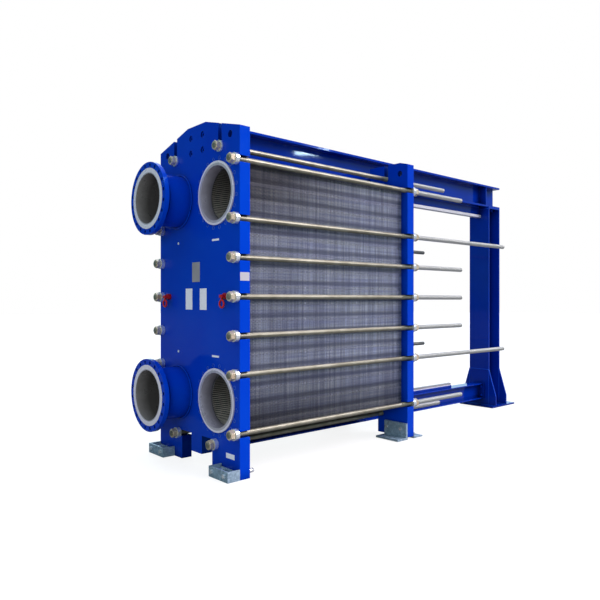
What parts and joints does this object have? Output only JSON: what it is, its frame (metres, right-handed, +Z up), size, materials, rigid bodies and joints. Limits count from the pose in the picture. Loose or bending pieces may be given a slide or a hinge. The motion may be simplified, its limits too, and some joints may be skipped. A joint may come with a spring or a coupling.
{
  "type": "plate heat exchanger",
  "caption": "Gasketed plate heat exchanger: plate pack clamped by long bolts between a ported frame plate and a sliding pressure plate, with carrying bar and column.",
  "frame": {"origin": "bottom centre of the whole object's box, on the floor", "axes": "+X to the right seen from the pipe connections, +Y from the frame plate with its pipe connections towards the support column, +Z up"},
  "size_m": [1.4278, 5.723, 3.258],
  "materials": {
    "blue_paint": "glossy blue enamel over rolled steel",
    "stainless": "satin stainless steel",
    "bolt_steel": "yellow-grey zinc plating, threaded",
    "zinc_plate": "bright zinc plating",
    "blackened_screw": "painted over in blue",
    "galvanised": "hot dip galvanised, spangled",
    "roller_steel": "turned steel",
    "plate_steel": "pressed stainless sheet, fine ribs",
    "gasket_rubber": "moulded black rubber",
    "red_paint": "red powder coat",
    "name_plate_metal": "brushed, blank",
    "label_white": "blank white sticker",
    "plug_plastic": "pale plastic"
  },
  "bodies": {
    "frame": {"frame_plate": "blue_paint", "upper_nozzle": "blue_paint", "lower_nozzle": "blue_paint", "upper_nozzle_liner": "stainless", "lower_nozzle_liner": "stainless", "upper_port_liner": "stainless", "lower_port_liner": "stainless", "carrying_bar": "blue_paint", "hanging_rail": "stainless", "guide_bar": "blue_paint", "guide_rail": "stainless", "support_column": "blue_paint", "carrying_bar_screws": "blackened_screw", "bar_bolts": "zinc_plate", "frame_foot_left": "galvanised", "frame_foot_right": "galvanised", "frame_foot_bolts": "zinc_plate", "short_tightening_bolts": "bolt_steel", "long_tightening_bolts": "bolt_steel", "front_washers": "zinc_plate", "front_nuts": "bolt_steel", "name_plate": "name_plate_metal", "name_plate_rivets": "zinc_plate", "blank_labels": "label_white", "plate_plugs": "plug_plastic"},
    "pressure_plate_carriage": {"pressure_plate": "blue_paint", "pressure_foot_front_left": "galvanised", "pressure_foot_front_right": "galvanised", "pressure_foot_rear_left": "galvanised", "pressure_foot_rear_right": "galvanised", "pressure_foot_bolts": "zinc_plate", "rear_washers": "zinc_plate", "short_bolt_nuts": "bolt_steel", "roller_bracket_left": "blue_paint", "roller_bracket_right": "blue_paint", "roller_axle_left": "zinc_plate", "roller_axle_right": "zinc_plate", "roller_bracket_bolts": "zinc_plate"},
    "roller_wheel_left": {"roller_left": "roller_steel"},
    "roller_wheel_right": {"roller_right": "roller_steel"},
    "plate_group_1": {"channel_plates_1": "plate_steel", "gaskets_1": "gasket_rubber"},
    "plate_group_2": {"channel_plates_2": "plate_steel", "gaskets_2": "gasket_rubber"},
    "plate_group_3": {"channel_plates_3": "plate_steel", "gaskets_3": "gasket_rubber"},
    "plate_group_4": {"channel_plates_4": "plate_steel", "gaskets_4": "gasket_rubber"},
    "plate_group_5": {"channel_plates_5": "plate_steel", "gaskets_5": "gasket_rubber"},
    "plate_group_6": {"channel_plates_6": "plate_steel", "gaskets_6": "gasket_rubber"},
    "nut_upper_left": {"tightening_nut_upper_left": "bolt_steel"},
    "nut_upper_right": {"tightening_nut_upper_right": "bolt_steel"},
    "nut_lower_left": {"tightening_nut_lower_left": "bolt_steel"},
    "nut_lower_right": {"tightening_nut_lower_right": "bolt_steel"},
    "swivel_left": {"lifting_swivel_left": "red_paint"},
    "link_left": {"lifting_link_left": "red_paint"},
    "swivel_right": {"lifting_swivel_right": "red_paint"},
    "link_right": {"lifting_link_right": "red_paint"}
  },
  "joints": [
    {"name": "pressure_plate_slide", "type": "slide", "parent": "frame", "child": "pressure_plate_carriage", "axis": [0, 1, 0], "range_m": [0, 0.88]},
    {"name": "roller_spin_left", "type": "hinge", "parent": "pressure_plate_carriage", "child": "roller_wheel_left", "pos_m": [-0.055, -0.0405, 3.0232], "axis": [-1, 0, 0], "range_deg": [-5, 945]},
    {"name": "roller_spin_right", "type": "hinge", "parent": "pressure_plate_carriage", "child": "roller_wheel_right", "pos_m": [0.055, -0.0405, 3.0232], "axis": [-1, 0, 0], "range_deg": [-5, 945]},
    {"name": "plate_group_1_slide", "type": "slide", "parent": "frame", "child": "plate_group_1", "axis": [0, 1, 0], "range_m": [0, 0.1357]},
    {"name": "plate_group_2_slide", "type": "slide", "parent": "frame", "child": "plate_group_2", "axis": [0, 1, 0], "range_m": [0, 0.2614]},
    {"name": "plate_group_3_slide", "type": "slide", "parent": "frame", "child": "plate_group_3", "axis": [0, 1, 0], "range_m": [0, 0.3871]},
    {"name": "plate_group_4_slide", "type": "slide", "parent": "frame", "child": "plate_group_4", "axis": [0, 1, 0], "range_m": [0, 0.5129]},
    {"name": "plate_group_5_slide", "type": "slide", "parent": "frame", "child": "plate_group_5", "axis": [0, 1, 0], "range_m": [0, 0.6386]},
    {"name": "plate_group_6_slide", "type": "slide", "parent": "frame", "child": "plate_group_6", "axis": [0, 1, 0], "range_m": [0, 0.7643]},
    {"name": "nut_spin_upper_left", "type": "hinge", "parent": "pressure_plate_carriage", "child": "nut_upper_left", "pos_m": [-0.662, -0.0435, 2.283], "axis": [0, 1, 0], "continuous": true},
    {"name": "nut_spin_upper_right", "type": "hinge", "parent": "pressure_plate_carriage", "child": "nut_upper_right", "pos_m": [0.662, -0.0435, 2.283], "axis": [0, 1, 0], "continuous": true},
    {"name": "nut_spin_lower_left", "type": "hinge", "parent": "pressure_plate_carriage", "child": "nut_lower_left", "pos_m": [-0.662, -0.0435, 0.911], "axis": [0, 1, 0], "continuous": true},
    {"name": "nut_spin_lower_right", "type": "hinge", "parent": "pressure_plate_carriage", "child": "nut_lower_right", "pos_m": [0.662, -0.0435, 0.911], "axis": [0, 1, 0], "continuous": true},
    {"name": "lifting_swivel_turn_left", "type": "hinge", "parent": "frame", "child": "swivel_left", "pos_m": [-0.512, -2.5435, 1.6], "axis": [0, -1, 0], "continuous": true},
    {"name": "lifting_link_swing_left", "type": "hinge", "parent": "swivel_left", "child": "link_left", "pos_m": [-0.512, -2.5795, 1.6], "axis": [-1, 0, 0], "range_deg": [0, 180]},
    {"name": "lifting_swivel_turn_right", "type": "hinge", "parent": "frame", "child": "swivel_right", "pos_m": [0.512, -2.5435, 1.6], "axis": [0, -1, 0], "continuous": true},
    {"name": "lifting_link_swing_right", "type": "hinge", "parent": "swivel_right", "child": "link_right", "pos_m": [0.512, -2.5795, 1.6], "axis": [-1, 0, 0], "range_deg": [0, 180]}
  ],
  "couplings": [
    {"joint": "roller_spin_left", "follows": "pressure_plate_slide", "rad_per_m": 18.182},
    {"joint": "roller_spin_right", "follows": "pressure_plate_slide", "rad_per_m": 18.182},
    {"joint": "plate_group_1_slide", "follows": "pressure_plate_slide", "ratio": 0.14286},
    {"joint": "plate_group_2_slide", "follows": "pressure_plate_slide", "ratio": 0.28571},
    {"joint": "plate_group_3_slide", "follows": "pressure_plate_slide", "ratio": 0.42857},
    {"joint": "plate_group_4_slide", "follows": "pressure_plate_slide", "ratio": 0.57143},
    {"joint": "plate_group_5_slide", "follows": "pressure_plate_slide", "ratio": 0.71429},
    {"joint": "plate_group_6_slide", "follows": "pressure_plate_slide", "ratio": 0.85714}
  ]
}
